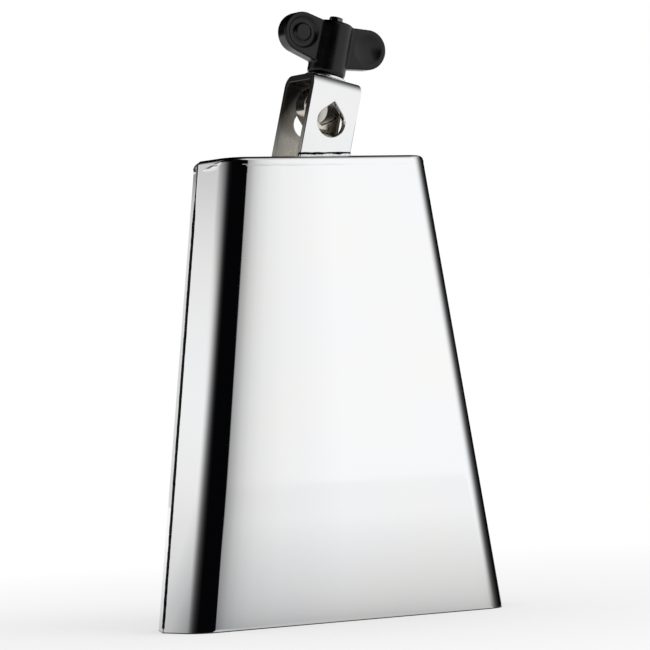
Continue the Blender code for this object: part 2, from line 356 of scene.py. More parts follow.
turned = dict(tarnish=(260, 4), lines=(2, (1, 1, 0.2)), lineBump=(0.3, 0.02 * mm),
              endColour=(0.12, 0.115, 0.11), endSoft=4 * mm, footShadeColour=(0.05, 0.042, 0.032),
              footWay=(1, 0, -0.3), footFrom=-61.2 * mm, footTo=-55.5 * mm, footMost=0.96)


def turnedLook(name, cool, warm, smooth, dull, lineScale, darkEnd=None):
    look, tree, shader, place = startLook(name)
    tarnish = addNoise(tree, place, *turned["tarnish"])
    lines = addNoise(tree, place, lineScale, *turned["lines"])
    colour = addBlend(tree, addRange(tree, tarnish, *colourSpread, 0, 1), cool, warm)
    if darkEnd:  # the screw's end is dark, and the eye takes a painted dark reflection towards its right foot
        end = addRange(tree, addAxis(tree, place, "Z"), darkEnd, darkEnd + turned["endSoft"], 0, 1)
        colour = addBlend(tree, end, colour, turned["endColour"])
        along = addFacing(tree, place, turned["footWay"])
        foot = addRange(tree, along, turned["footFrom"], turned["footTo"], 0, turned["footMost"])
        colour = addBlend(tree, foot, colour, turned["footShadeColour"])
    rough = addRange(tree, tarnish, *roughSpread, smooth, dull)
    finishLook(tree, shader, 1, colour, rough, addBump(tree, lines, *turned["lineBump"]))
    return look


plastic = dict(deep=(0.0006, 0.0006, 0.0007), pale=(0.0015, 0.0015, 0.0016), ior=1.42, rough=(0.20, 0.30),
               flow=(140, 4), grain=(2600, 2), grainBump=(0.35, 0.03 * mm))


def gripLook():
    look, tree, shader, place = startLook("blackGripPlastic")
    shader.inputs["IOR"].default_value = plastic["ior"]
    flow = addNoise(tree, place, *plastic["flow"])
    grain = addNoise(tree, place, *plastic["grain"])
    colour = addBlend(tree, addRange(tree, flow, *colourSpread, 0, 1), plastic["deep"], plastic["pale"])
    rough = addRange(tree, flow, *roughSpread, *plastic["rough"])
    finishLook(tree, shader, 0, colour, rough, addBump(tree, grain, *plastic["grainBump"]))
    return look


bellChrome = platedLook("bellChrome", (0.925, 0.935, 0.95), (0.945, 0.94, 0.935), 0.02, 0.05, 0.10)
strapChrome = platedLook("strapChrome", (0.845, 0.855, 0.87), (0.87, 0.87, 0.865), 0.03, 0.07, 0.12)
bellInside = rawInsideLook()
# the dark finish of the sheet's cut edge, also used for a painted dark line along the rim
cutEdgeAndRimShade = platedLook("cutEdgeAndRimShade", (0.08, 0.08, 0.082), (0.13, 0.128, 0.125), 0.10, 0.24, 0.15)
seamPlating = weldLook("seamPlating", (0.004, 0.004, 0.004), (0.03, 0.03, 0.032), 0.12, 0.30, 0.4)
# the foot beads carry painted shade along their tops
beadPlating = weldLook("beadPlating", (0.70, 0.70, 0.71), (0.92, 0.92, 0.93), 0.05, 0.14, 0.12,
                       toe=203.85 * mm)
# the strap's inside gets painted shade and reflection, bright at the foot and dark up under the bend
strapInside = shadedInsideLook("strapInside", (0.96, 0.93, 0.84), (0.03, 0.027, 0.024), 213 * mm, 233 * mm)
# the eyebolt, with a dark screw end and a painted dark reflection towards the eye's right foot
warmNickel = turnedLook("warmNickel", (0.62, 0.57, 0.50), (0.74, 0.70, 0.62), 0.14, 0.22, 1500,
                        darkEnd=250 * mm)
brightZinc = turnedLook("brightZinc", (0.80, 0.82, 0.85), (0.88, 0.89, 0.90), 0.10, 0.22, 1200)
brassInsert = turnedLook("brassInsert", (0.72, 0.52, 0.22), (0.80, 0.62, 0.32), 0.16, 0.30, 1300)
blackGrip = gripLook()
print("finishes ready")


# Bell sheet: six sided, folded, tapering to the crown

bellSheet = dict(
    height=203 * mm, mouthFace=133.5 * mm, crownFace=79.5 * mm, mouthDepth=46 * mm, crownDepth=41 * mm,
    thick=1.6 * mm, sideBend=10.5 * mm, crownBend=1.8 * mm, flapLean=math.radians(17),
    sideSteps=18, crownSteps=8, ridgeRound=0.7 * mm, ridgeSteps=3,
    rimReach=1 * mm, rimRound=0.55 * mm, rimSteps=2, rimLine=0.45 * mm,
    columns=60, faceFacing=0.99, flapColumns=15, flapFacing=0.31, flapTilt=0.3, flapShare=0.70,
    ringGap=18 * mm, fineFrom=195.6 * mm, fineGap=0.2 * mm,
)
# pressed lines below the crown: one across each face, and a short bowed one on each flap
creases = dict(reach=8 * mm, topFacing=0.9, faceFacing=0.97, flapFacing=0.4)
faceCrease = dict(drop=3.6 * mm, rise=0.12 * mm, width=0.32 * mm, sway=0.35 * mm, swaySize=5 * mm,
                  swaySeed=0.4, force=0.6, forceSwing=0.8, forceSize=14 * mm, forceSeed=2.3, rightLoss=0.6)
flapCrease = dict(drop=4.2 * mm, rise=0.58 * mm, width=0.40 * mm, bow=1.6 * mm, bowMiddle=0.5,
                  bowHalf=0.45, middle=0.78, half=0.30)
bendRun = bellSheet["sideBend"] * math.tan((quarter - bellSheet["flapLean"]) / 2)
mouthCorner = bellSheet["mouthFace"] / 2 + bendRun
crownCorner = bellSheet["crownFace"] / 2 + bendRun
mouthRidge = mouthCorner + bellSheet["mouthDepth"] / 2 * math.tan(bellSheet["flapLean"])
crownRidge = crownCorner + bellSheet["crownDepth"] / 2 * math.tan(bellSheet["flapLean"])
bellTop = bellSheet["height"]


def isRise(edge):  # an edge that runs from the mouth to the crown
    return abs(edgeRun(edge).z) > bellTop / 2


def isFlap(face):
    return abs(face.normal.y) < bellSheet["flapFacing"] and abs(face.normal.z) < bellSheet["flapTilt"]


def bellWidthAt(z):
    share = z / bellTop
    return bellSheet["mouthFace"] * (1 - share) + bellSheet["crownFace"] * share


def faceLift(spot, drop):  # an uneven line, not the same on both faces
    sway = noise.noise(Vector((spot.x / faceCrease["swaySize"], spot.y / mm, faceCrease["swaySeed"])))
    place = Vector((spot.x / faceCrease["forceSize"], spot.y / (2 * mm), faceCrease["forceSeed"]))
    force = faceCrease["force"] + faceCrease["forceSwing"] * noise.noise(place)
    force *= 1 - faceCrease["rightLoss"] * spot.x / (bellSheet["crownFace"] / 2)
    away = (drop - faceCrease["drop"] - sway * faceCrease["sway"]) / faceCrease["width"]
    return faceCrease["rise"] * force * math.exp(-away * away)


def flapLift(share, drop):  # a short line, bowed upwards
    bowed = (share - flapCrease["bowMiddle"]) / flapCrease["bowHalf"]
    fade = max(0, 1 - abs(share - flapCrease["middle"]) / flapCrease["half"])
    away = (drop - flapCrease["drop"] + flapCrease["bow"] * bowed ** 2) / flapCrease["width"]
    return flapCrease["rise"] * min(1, 2 * fade) * math.exp(-away * away)


def pressCreases(bell):
    mesh = bmesh.from_edit_mesh(bell.data)
    mesh.normal_update()
    bendDepth = bellSheet["sideBend"] * (1 - math.sin(bellSheet["flapLean"]))
    flapReach = bellSheet["crownDepth"] / 2 - bendDepth
    moves = []
    for vert in mesh.verts:
        drop = bellTop - vert.co.z
        facing = abs(vert.normal.y)
        if drop > creases["reach"] or abs(vert.normal.z) > creases["topFacing"]:
            continue
        if facing >= creases["faceFacing"]:
            moves.append((vert, vert.normal * faceLift(vert.co, drop)))
        elif facing <= creases["flapFacing"]:
            moves.append((vert, vert.normal * flapLift(abs(vert.co.y) / flapReach, drop)))
    for vert, move in moves:
        vert.co += move
    bmesh.update_edit_mesh(bell.data)


def makeBell():
    bell = startPiece("bellSheet", bpy.ops.mesh.primitive_cube_add, size=1, location=(0, 0, bellTop / 2),
                      scale=(2 * mouthCorner, bellSheet["mouthDepth"], bellTop))
    openMesh(bell)
    pickAll()
    bpy.ops.mesh.bisect(plane_co=(0, 0, 0), plane_no=(0, 1, 0))
    pick(bell, "VERT", lambda vert: abs(vert.co.y) < tiny)
    stretch(mouthRidge / mouthCorner, 1, 1, (0, 0, 0))
    pick(bell, "VERT", lambda vert: vert.co.z > bellTop / 2 and abs(vert.co.y) > tiny)
    depthTaper = bellSheet["crownDepth"] / bellSheet["mouthDepth"]
    stretch(crownCorner / mouthCorner, depthTaper, 1, (0, 0, bellTop))
    pick(bell, "VERT", lambda vert: vert.co.z > bellTop / 2 and abs(vert.co.y) < tiny)
    stretch(crownRidge / mouthRidge, 1, 1, (0, 0, bellTop))
    pick(bell, "FACE", lambda face: face.normal.z < -levelFacing)
    bpy.ops.mesh.delete(type="FACE")
    pick(bell, "EDGE", lambda edge: all(end.z > bellTop - tiny and abs(end.y) < tiny
                                        for end in edgeEnds(edge)))
    bpy.ops.mesh.dissolve_edges(use_verts=False)
    # the four side bends, then the crown's bend, then the ridges
    pick(bell, "EDGE", lambda edge: isRise(edge) and abs(edgeEnds(edge)[0].y) > tiny)
    bpy.ops.mesh.bevel(offset=bendRun, segments=bellSheet["sideSteps"], profile=0.5, clamp_overlap=False)
    pick(bell, "EDGE", lambda edge: all(end.z > bellTop - tiny for end in edgeEnds(edge)))
    bpy.ops.mesh.bevel(offset=bellSheet["crownBend"], segments=bellSheet["crownSteps"], profile=0.5,
                       clamp_overlap=False)
    pick(bell, "EDGE", lambda edge: isRise(edge) and abs(edgeEnds(edge)[0].y) < tiny)
    bpy.ops.mesh.bevel(offset=bellSheet["ridgeRound"], segments=bellSheet["ridgeSteps"], profile=0.5,
                       clamp_overlap=False)
    # rings round the bell, fine below the crown, and columns that follow the taper
    coarse = int(bellSheet["fineFrom"] / bellSheet["ringGap"])
    fine = int((bellTop - bellSheet["crownBend"] - bellSheet["fineFrom"]) / bellSheet["fineGap"])
    heights = [bellSheet["ringGap"] * (ring + 1) for ring in range(coarse)]
    heights += [bellSheet["fineFrom"] + bellSheet["fineGap"] * ring for ring in range(fine)]
    for height in heights:
        pickAll()
        bpy.ops.mesh.bisect(plane_co=(0, 0, height), plane_no=(0, 0, 1), threshold=tiny)
    taperTip = bellTop * bellSheet["mouthFace"] / (bellSheet["mouthFace"] - bellSheet["crownFace"])
    for column in range(1, bellSheet["columns"]):
        share = 2 * column / bellSheet["columns"] - 1
        pick(bell, "FACE", lambda face: abs(face.normal.y) > bellSheet["faceFacing"])
        bpy.ops.mesh.bisect(plane_co=(0, 0, taperTip), threshold=tiny,
                            plane_no=(taperTip, 0, share * bellSheet["mouthFace"] / 2))
    depthTip = bellTop * bellSheet["mouthDepth"] / (bellSheet["mouthDepth"] - bellSheet["crownDepth"])
    for column in range(1, bellSheet["flapColumns"]):
        for side in (-1, 1):
            share = side * bellSheet["flapShare"] * column / bellSheet["flapColumns"]
            pick(bell, "FACE", isFlap)
            bpy.ops.mesh.bisect(plane_co=(0, 0, depthTip), threshold=tiny,
                                plane_no=(0, depthTip, share * bellSheet["mouthDepth"] / 2))
    tidyNormals()
    pressCreases(bell)
    closeMesh()
    giveFinishes(bell, bellChrome, bellInside, cutEdgeAndRimShade)
    modify(bell, "SOLIDIFY", thickness=bellSheet["thick"], offset=-1, use_even_offset=True,
           material_offset=insideSlot, material_offset_rim=edgeSlot)
    openMesh(bell)
    pick(bell, "VERT", lambda vert: vert.co.z < bellSheet["rimReach"])
    stretch(1, 1, 0, (0, 0, 0))
    pick(bell, "EDGE", lambda edge: sum(face.normal.z < -levelFacing for face in edge.link_faces) == 1)
    bpy.ops.mesh.bevel(offset=bellSheet["rimRound"], segments=bellSheet["rimSteps"], profile=0.5,
                       clamp_overlap=True, material=edgeSlot)
    # a painted dark reflection: the rim's lowest strip takes the cut edge's dark finish and shows as a dark
    # line
    pickAll()
    bpy.ops.mesh.bisect(plane_co=(0, 0, bellSheet["rimLine"]), plane_no=(0, 0, 1), threshold=tiny)
    pick(bell, "FACE", lambda face: face.calc_center_median().z < bellSheet["rimLine"])
    bell.active_material_index = edgeSlot
    bpy.ops.object.material_slot_assign()
    closeMesh()
    finishPiece(bell, bellChrome, "bell", ["bell_body"])


makeBell()


# Seam welds: an uneven run down each side ridge

seamRun = dict(bottom=0.5 * mm, top=192.7 * mm, halfDepth=1.15 * mm, halfWidth=1.10 * mm, sunk=0.72 * mm,
               sides=16, firstCuts=10, laterCuts=20, rough=0.24 * mm, roughSize=1.7 * mm,
               slowRough=0.20 * mm, slowSize=9 * mm, upright=0.9, tipSize=0.45, thinning=0.93, thinSteps=7,
               thinStep=2 * mm)


def roughen(piece, name, strength, size):
    lumps = bpy.data.textures.new(name, "CLOUDS")
    lumps.noise_scale = size
    lumps.noise_depth = 2
    modify(piece, "DISPLACE", texture=lumps, strength=strength, mid_level=0.5, texture_coords="LOCAL")


def makeSeam(name, side, node):
    length = seamRun["top"] - seamRun["bottom"]
    seam = startPiece(name, bpy.ops.mesh.primitive_cylinder_add, vertices=seamRun["sides"], radius=1,
                      depth=length, scale=(seamRun["halfDepth"], seamRun["halfWidth"], 1))
    openMesh(seam)
    for cuts in (seamRun["firstCuts"], seamRun["laterCuts"]):
        pick(seam, "EDGE", lambda edge: abs(edgeRun(edge).z) > seamRun["upright"] * edge.calc_length())
        bpy.ops.mesh.subdivide(number_cuts=cuts)
    for end in (-1, 1):  # the run starts and stops in a rounded tip
        pick(seam, "VERT", lambda vert: vert.co.z * end > length / 2 - tiny)
        stretch(seamRun["tipSize"], seamRun["tipSize"], 1, (0, 0, end * length / 2))
    for step in range(1, seamRun["thinSteps"] + 1):  # and it thins out below the crown
        pick(seam, "VERT", lambda vert: vert.co.z > length / 2 - step * seamRun["thinStep"])
        stretch(seamRun["thinning"], seamRun["thinning"], 1, (0, 0, 0))
    closeMesh()
    roughen(seam, name + "Lumps", seamRun["rough"], seamRun["roughSize"])
    roughen(seam, name + "Swell", seamRun["slowRough"], seamRun["slowSize"])
    lean = math.atan((mouthRidge - crownRidge) / bellTop)
    middle = (seamRun["top"] + seamRun["bottom"]) / 2
    ridge = mouthRidge + (crownRidge - mouthRidge) * middle / bellTop
    seam.rotation_euler = (0, -side * lean, 0)
    seam.location = (side * (ridge - seamRun["sunk"]), 0, middle)
    finishPiece(seam, seamPlating, "bell", [node], overAngle=80, evenNormals=False)


makeSeam("leftSeamRun", -1, "left_seam_weld")
makeSeam("rightSeamRun", 1, "right_seam_weld")


# Clamp: modelled upright, with its own foot at zero, then leaned and set on the crown

clampSet = dict(lean=math.radians(13.9), pitch=math.radians(2.4), out=0.3 * mm, foot=bellTop)


def setOnCrown(piece):
    turn = Matrix.Rotation(clampSet["pitch"], 4, "X") @ Matrix.Rotation(clampSet["lean"], 4, "Y")
    piece.matrix_world = Matrix.Translation((clampSet["out"], 0, clampSet["foot"])) @ turn
    settle(piece)


def makeTear(name, radius, vee, tipUp, steps, y):  # a round outline drawn out to a point
    tear = startPiece(name, bpy.ops.mesh.primitive_circle_add, vertices=steps, radius=radius,
                      fill_type="NGON", rotation=(quarter, 0, 0), location=(0, y, 0))
    openMesh(tear)
    way = 1 if tipUp else -1
    flat = radius * math.sin(vee / 2)  # height at which the straight sides leave the round
    pick(tear, "VERT", lambda vert: vert.co.z * way > flat + tiny and abs(vert.co.x) > tiny)
    bpy.ops.mesh.dissolve_verts()
    pick(tear, "VERT", lambda vert: vert.co.z * way > flat + tiny)
    shift(0, 0, way * (radius / math.sin(vee / 2) - radius))
    return tear


strap = dict(width=24.2 * mm, thick=3.2 * mm, depth=29.6 * mm, height=36.3 * mm, bend=5.2 * mm,
             bendSteps=12, holeRadius=6.5 * mm, holeVee=quarter, holeHeight=16.3 * mm, rearRadius=5.8 * mm,
             rearOut=0.4 * mm, rearHeight=16.8 * mm, holeSteps=64, screwHole=3.35 * mm, screwSteps=48,
             screwDepth=30 * mm, edgeRound=0.6 * mm, edgeSteps=4, below=20 * mm, footGap=0.05 * mm)


def makeStrap():
    half = strap["depth"] / 2
    rise = strap["height"] - strap["bend"]
    piece = startPiece("clampStrap", bpy.ops.mesh.primitive_plane_add, size=strap["width"],
                       rotation=(quarter, 0, 0), location=(0, -half, 0))
    openMesh(piece)
    pick(piece, "VERT", lambda vert: vert.co.z < 0)
    shift(0, 0, strap["width"] / 2 - strap["below"])
    pick(piece, "EDGE", lambda edge: all(end.z > 0 for end in edgeEnds(edge)))
    shift(0, 0, rise - strap["width"] / 2)
    bpy.ops.mesh.spin(steps=strap["bendSteps"], angle=quarter, axis=(1, 0, 0),
                      center=(0, -half + strap["bend"], rise))
    drawEdges(0, strap["depth"] - 2 * strap["bend"], 0)
    bpy.ops.mesh.spin(steps=strap["bendSteps"], angle=quarter, axis=(1, 0, 0),
                      center=(0, half - strap["bend"], rise))
    drawEdges(0, 0, -rise - strap["below"])
    tidyNormals()
    closeMesh()
    giveFinishes(piece, strapChrome, strapInside)
    outward = piece.data.polygons[0].normal.y * piece.data.polygons[0].center.y
    modify(piece, "SOLIDIFY", thickness=strap["thick"], offset=-1 if outward > 0 else 1,
           use_even_offset=True, material_offset=insideSlot, material_offset_rim=insideSlot)
    openMesh(piece)
    tidyNormals()
    closeMesh()
    holes = ((strap["holeRadius"], -strap["depth"], 0, strap["holeHeight"]),
             (strap["rearRadius"], 0, strap["rearOut"], strap["rearHeight"]))
    for radius, start, out, up in holes:
        hole = makeTear("rodHole", radius, strap["holeVee"], True, strap["holeSteps"], start)
        pickAll()
        drawFaces(0, strap["depth"], 0)
        tidyNormals()
        shift(out, 0, up)
        closeMesh()
        cutAway(piece, hole)
    screwHole = startPiece("screwHole", bpy.ops.mesh.primitive_cylinder_add, vertices=strap["screwSteps"],
                           radius=strap["screwHole"], depth=strap["screwDepth"],
                           location=(0, 0, strap["height"]))
    cutAway(piece, screwHole)
    roundEdges(piece, strap["edgeRound"], strap["edgeSteps"])
    setOnCrown(piece)
    openMesh(piece)
    pickAll()
    bpy.ops.mesh.bisect(plane_co=(0, 0, clampSet["foot"] + strap["footGap"]), plane_no=(0, 0, 1),
                        clear_inner=True, use_fill=True)
    closeMesh()
    finishPiece(piece, strapChrome, "bell", ["clamp_bracket"], overAngle=40)


makeStrap()


# Foot welds: a lumpy bead along each leg

footBead = dict(length=25.5 * mm, halfHeight=1.35 * mm, halfDepth=1.5 * mm, out=0.35 * mm, up=0.75 * mm,
                sides=20, rings=100, tips=((0.4 * mm, 0.72), (0.05 * mm, 0.55)), lumps=0.5 * mm,
                lumpSize=3 * mm, fine=0.12 * mm, fineSize=1.2 * mm)


def makeFootBead(name, side, node):
    bead = startPiece(name, bpy.ops.mesh.primitive_cylinder_add, vertices=footBead["sides"], radius=1,
                      depth=footBead["length"], scale=(footBead["halfHeight"], footBead["halfDepth"], 1),
                      rotation=(0, quarter, 0))
    openMesh(bead)
    pick(bead, "EDGE", lambda edge: abs(edgeRun(edge).x) > footBead["length"] / 2)
    bpy.ops.mesh.subdivide(number_cuts=footBead["rings"])
    for end in (-1, 1):
        for reach, size in footBead["tips"]:
            pick(bead, "VERT", lambda vert: vert.co.x * end > footBead["length"] / 2 - reach)
            stretch(1, size, size, (0, 0, 0))
    closeMesh()
    roughen(bead, name + "Lumps", footBead["lumps"], footBead["lumpSize"])
    roughen(bead, name + "Fine", footBead["fine"], footBead["fineSize"])
    bead.location = (clampSet["out"], side * (strap["depth"] / 2 + footBead["out"]),
                     clampSet["foot"] + footBead["up"])
    finishPiece(bead, beadPlating, "bell", [node], overAngle=80, evenNormals=False)


makeFootBead("frontFootBead", -1, "bracket_front_weld")
makeFootBead("rearFootBead", 1, "bracket_rear_weld")


# Eyebolt: teardrop eye with a V seat, on a threaded shank

eyeBolt = dict(radius=9.6 * mm, vee=quarter, wall=3 * mm, openVee=math.radians(110), thick=12 * mm,
               outerRound=2.0 * mm, innerRound=0.8 * mm, roundSteps=5, rimReach=1 * mm, rimAngle=0.5,
               centre=23.7 * mm, blunt=12.1 * mm, steps=72, squareOut=9.2 * mm, squareDrop=4.3 * mm,
               slack=0.1 * mm, shankRadius=3 * mm, pitch=1 * mm, tooth=0.94 * mm, toothTip=0.2,
               core=2.6 * mm, coreSteps=40, threadFrom=34.2 * mm, threadTurns=27, turnSteps=22,
               stubFrom=61.5 * mm, stubFlare=0.2 * mm, stubRadius=3.05 * mm, stubRound=0.7 * mm, stubSteps=4,
               tip=65.1 * mm)


def makeTearBlock(name, radius, vee, thick, squared=False):
    block = makeTear(name, radius, vee, False, eyeBolt["steps"], -thick / 2)
    if squared:  # the right foot of the eye is filled out to a corner
        pick(block, "VERT", lambda vert: vert.co.x > tiny and vert.co.z < -tiny)
        stretch(0, 1, 1, (eyeBolt["squareOut"], 0, 0))
        lowest = radius * math.sin(vee / 2) - eyeBolt["slack"]
        pick(block, "VERT", lambda vert: vert.co.x > tiny and vert.co.z < -lowest)
        shift(0, 0, -eyeBolt["squareDrop"])
    pickAll()
    drawFaces(0, thick, 0)
    tidyNormals()
    shift(0, 0, eyeBolt["centre"])
    return block


def isEyeRim(edge, outer):  # an edge where the eye's flat sides turn into its wall
    ends = edgeEnds(edge)
    flush = all(abs(end.y) > eyeBolt["thick"] / 2 - tiny for end in ends)
    outside = eyeBolt["radius"] - eyeBolt["rimReach"]
    far = all(math.hypot(end.x, end.z - eyeBolt["centre"]) > outside for end in ends)
    return flush and far == outer and edge.calc_face_angle(0) > eyeBolt["rimAngle"]


def makeEyeBolt():
    eye = makeTearBlock("eyeBolt", eyeBolt["radius"], eyeBolt["vee"], eyeBolt["thick"], squared=True)
    bpy.ops.mesh.bisect(plane_co=(0, 0, eyeBolt["blunt"]), plane_no=(0, 0, 1), clear_inner=True,
                        use_fill=True)
    tidyNormals()
    closeMesh()
    opening = makeTearBlock("eyeOpening", eyeBolt["radius"] - eyeBolt["wall"], eyeBolt["openVee"],
                            2 * eyeBolt["thick"])
    closeMesh()
    cutAway(eye, opening)
    openMesh(eye)
    for outer, width in ((True, eyeBolt["outerRound"]), (False, eyeBolt["innerRound"])):
        pick(eye, "EDGE", lambda edge: isEyeRim(edge, outer))
        bpy.ops.mesh.bevel(offset=width, segments=eyeBolt["roundSteps"], profile=0.5, clamp_overlap=False)
    closeMesh()
    # one tooth of the thread, carried up the shank
    tooth = startPiece("thread", bpy.ops.mesh.primitive_plane_add, size=eyeBolt["tooth"],
                       rotation=(quarter, 0, 0))
    openMesh(tooth)
    pick(tooth, "VERT", lambda vert: vert.co.x > 0)
    stretch(1, 1, eyeBolt["toothTip"], (0, 0, 0))
    pickAll()
    shift(eyeBolt["shankRadius"] - eyeBolt["tooth"] / 2, 0, eyeBolt["threadFrom"])
    closeMesh()
    modify(tooth, "SCREW", axis="Z", angle=2 * math.pi, screw_offset=eyeBolt["pitch"],
           steps=eyeBolt["turnSteps"], render_steps=eyeBolt["turnSteps"], iterations=eyeBolt["threadTurns"],
           merge_threshold=tiny)
    openMesh(tooth)
    tidyNormals()
    pick(tooth, "EDGE", lambda edge: edge.is_boundary)
    bpy.ops.mesh.fill_holes(sides=8)
    tidyNormals()
    closeMesh()
    # the shank's core, which ends in a plain rounded stub
    shankFoot = eyeBolt["centre"] + eyeBolt["radius"] - eyeBolt["wall"] / 2
    core = startPiece("shankCore", bpy.ops.mesh.primitive_cylinder_add, vertices=eyeBolt["coreSteps"],
                      radius=eyeBolt["core"], depth=eyeBolt["stubFrom"] - shankFoot,
                      location=(0, 0, (eyeBolt["stubFrom"] + shankFoot) / 2))
    openMesh(core)
    pick(core, "FACE", lambda face: face.normal.z > levelFacing)
    drawFaces(0, 0, eyeBolt["stubFlare"])
    widen = eyeBolt["stubRadius"] / eyeBolt["core"]
    stretch(widen, widen, 1, (0, 0, eyeBolt["stubFrom"]))
    drawFaces(0, 0, eyeBolt["tip"] - eyeBolt["stubFrom"] - eyeBolt["stubFlare"])
    pick(core, "EDGE", lambda edge: all(end.z > eyeBolt["tip"] - tiny for end in edgeEnds(edge)))
    bpy.ops.mesh.bevel(offset=eyeBolt["stubRound"], segments=eyeBolt["stubSteps"], profile=0.5)
    closeMesh()
    joinTo(eye, tooth, core)
    setOnCrown(eye)
    finishPiece(eye, warmNickel, "eyebolt", ["eyebolt"], overAngle=40)


makeEyeBolt()


# Washer under the wing nut

washerRing = dict(radius=9 * mm, bore=3.3 * mm, thick=1.2 * mm, bottom=36.7 * mm, edgeRound=0.3 * mm,
                  edgeSteps=3, steps=96)


def makeWasher():
    washer = startPiece("flatWasher", bpy.ops.mesh.primitive_cylinder_add, vertices=washerRing["steps"],
                        radius=washerRing["radius"], depth=washerRing["thick"],
                        location=(0, 0, washerRing["bottom"] + washerRing["thick"] / 2))
    openMesh(washer)
    pick(washer, "FACE", lambda face: abs(face.normal.z) > levelFacing)
    bpy.ops.mesh.inset(thickness=washerRing["radius"] - washerRing["bore"])
    bpy.ops.mesh.bridge_edge_loops()
    tidyNormals()
    closeMesh()
    roundEdges(washer, washerRing["edgeRound"], washerRing["edgeSteps"])
    setOnCrown(washer)
    finishPiece(washer, brightZinc, "bell", ["flat_washer"], overAngle=40)


makeWasher()


# Wing nut grip: a tapered hub and two round lobes, moulded in one

grip = dict(bottom=38.2 * mm, height=24.3 * mm, baseRadius=8.6 * mm, topRadius=8.3 * mm, hubRound=1.6 * mm,
            lobeOut=16.3 * mm, lobeUp=15.9 * mm, lobeRadius=9.0 * mm, lobeThick=8 * mm, lobeRound=1.4 * mm,
            rootOut=5.5 * mm, rootLow=4.3 * mm, rootHigh=23.5 * mm, drawnAbove=0.8 * mm, drawnBelow=1.8 * mm,
            dishRadius=6.8 * mm, dishDepth=1.4 * mm, grooveRadius=5.3 * mm, grooveWidth=1.75 * mm,
            grooveFlat=0.6, bore=3.3 * mm, boreSteps=64, steps=96, ringSteps=64, grooveSteps=24,
            roundSteps=5, voxel=0.28 * mm, soften=24, softenBy=0.5)


def makeLobe(side):
    centreZ = grip["bottom"] + grip["lobeUp"]
    lobe = startPiece("lobe", bpy.ops.mesh.primitive_cylinder_add, vertices=grip["steps"],
                      radius=grip["lobeRadius"], depth=grip["lobeThick"], rotation=(quarter, 0, 0),
                      location=(side * grip["lobeOut"], 0, centreZ))
    openMesh(lobe)
    # the round's inner part is drawn back to the hub and spread to the root's height
    reachAbove = grip["lobeOut"] - grip["drawnAbove"]
    reachBelow = grip["lobeOut"] + grip["drawnBelow"]
    pick(lobe, "VERT", lambda vert: side * vert.co.x < (reachAbove if vert.co.z > centreZ else reachBelow))
    stretch(0, 1, 1, (side * grip["rootOut"], 0, centreZ))
    low = grip["bottom"] + grip["rootLow"]
    high = grip["bottom"] + grip["rootHigh"]
    mesh = bmesh.from_edit_mesh(lobe.data)
    heights = [vert.co.z for vert in mesh.verts if vert.select]
    spread = (high - low) / (max(heights) - min(heights))
    stretch(1, 1, spread, (0, 0, min(heights)))
    shift(0, 0, low - min(heights))
    tidyNormals()
    closeMesh()
    roundEdges(lobe, grip["lobeRound"], grip["roundSteps"])
    for face in (-1, 1):
        spot = (side * grip["lobeOut"], face * grip["lobeThick"] / 2, centreZ)
        if side > 0:  # a shallow dish
            ball = (grip["dishRadius"] ** 2 + grip["dishDepth"] ** 2) / (2 * grip["dishDepth"])
            tool = startPiece("dish", bpy.ops.mesh.primitive_uv_sphere_add, segments=grip["steps"],
                              ring_count=grip["ringSteps"], radius=ball,
                              location=(spot[0], spot[1] + face * (ball - grip["dishDepth"]), spot[2]))
        else:  # a wide, shallow ring groove round a raised boss
            tool = startPiece("groove", bpy.ops.mesh.primitive_torus_add, major_radius=grip["grooveRadius"],
                              minor_radius=grip["grooveWidth"], major_segments=grip["steps"],
                              minor_segments=grip["grooveSteps"], location=spot, rotation=(quarter, 0, 0))
            openMesh(tool)
            pickAll()
            stretch(1, grip["grooveFlat"], 1, spot)
            closeMesh()
        cutAway(lobe, tool)
    return lobe


def makeGrip():
    middle = grip["bottom"] + grip["height"] / 2
    hub = startPiece("wingNutGrip", bpy.ops.mesh.primitive_cylinder_add, vertices=grip["steps"],
                     radius=grip["baseRadius"], depth=grip["height"], location=(0, 0, middle))
    openMesh(hub)
    pick(hub, "VERT", lambda vert: vert.co.z > middle)
    taper = grip["topRadius"] / grip["baseRadius"]
    stretch(taper, taper, 1, (0, 0, middle))
    closeMesh()
    roundEdges(hub, grip["hubRound"], grip["roundSteps"])
    joinTo(hub, makeLobe(-1), makeLobe(1))
    modify(hub, "REMESH", mode="VOXEL", voxel_size=grip["voxel"])
    modify(hub, "SMOOTH", factor=grip["softenBy"], iterations=grip["soften"])
    bore = startPiece("bore", bpy.ops.mesh.primitive_cylinder_add, vertices=grip["boreSteps"],
                      radius=grip["bore"], depth=2 * grip["height"], location=(0, 0, middle))
    cutAway(hub, bore)
    setOnCrown(hub)
    finishPiece(hub, blackGrip, "wing_nut", ["wing_nut_grip"], overAngle=60,
                evenNormals=False)


makeGrip()


# The threaded sleeve keeps its solid and takes a brass finish
for insertNode in bpy.data.objects:
    if insertNode.name == "wing_nut_insert":
        for materialSlot in insertNode.material_slots:
            materialSlot.material = brassInsert
print("sleeve finished")


# Camera at the photograph's place

viewFrom = dict(azimuth=math.radians(-26.1801), elevation=math.radians(-1.5513),
                roll=math.radians(-2.9739), place=(-575.210 * mm, -1177.438 * mm, 94.110 * mm),
                lens=164.09, sensor=36)


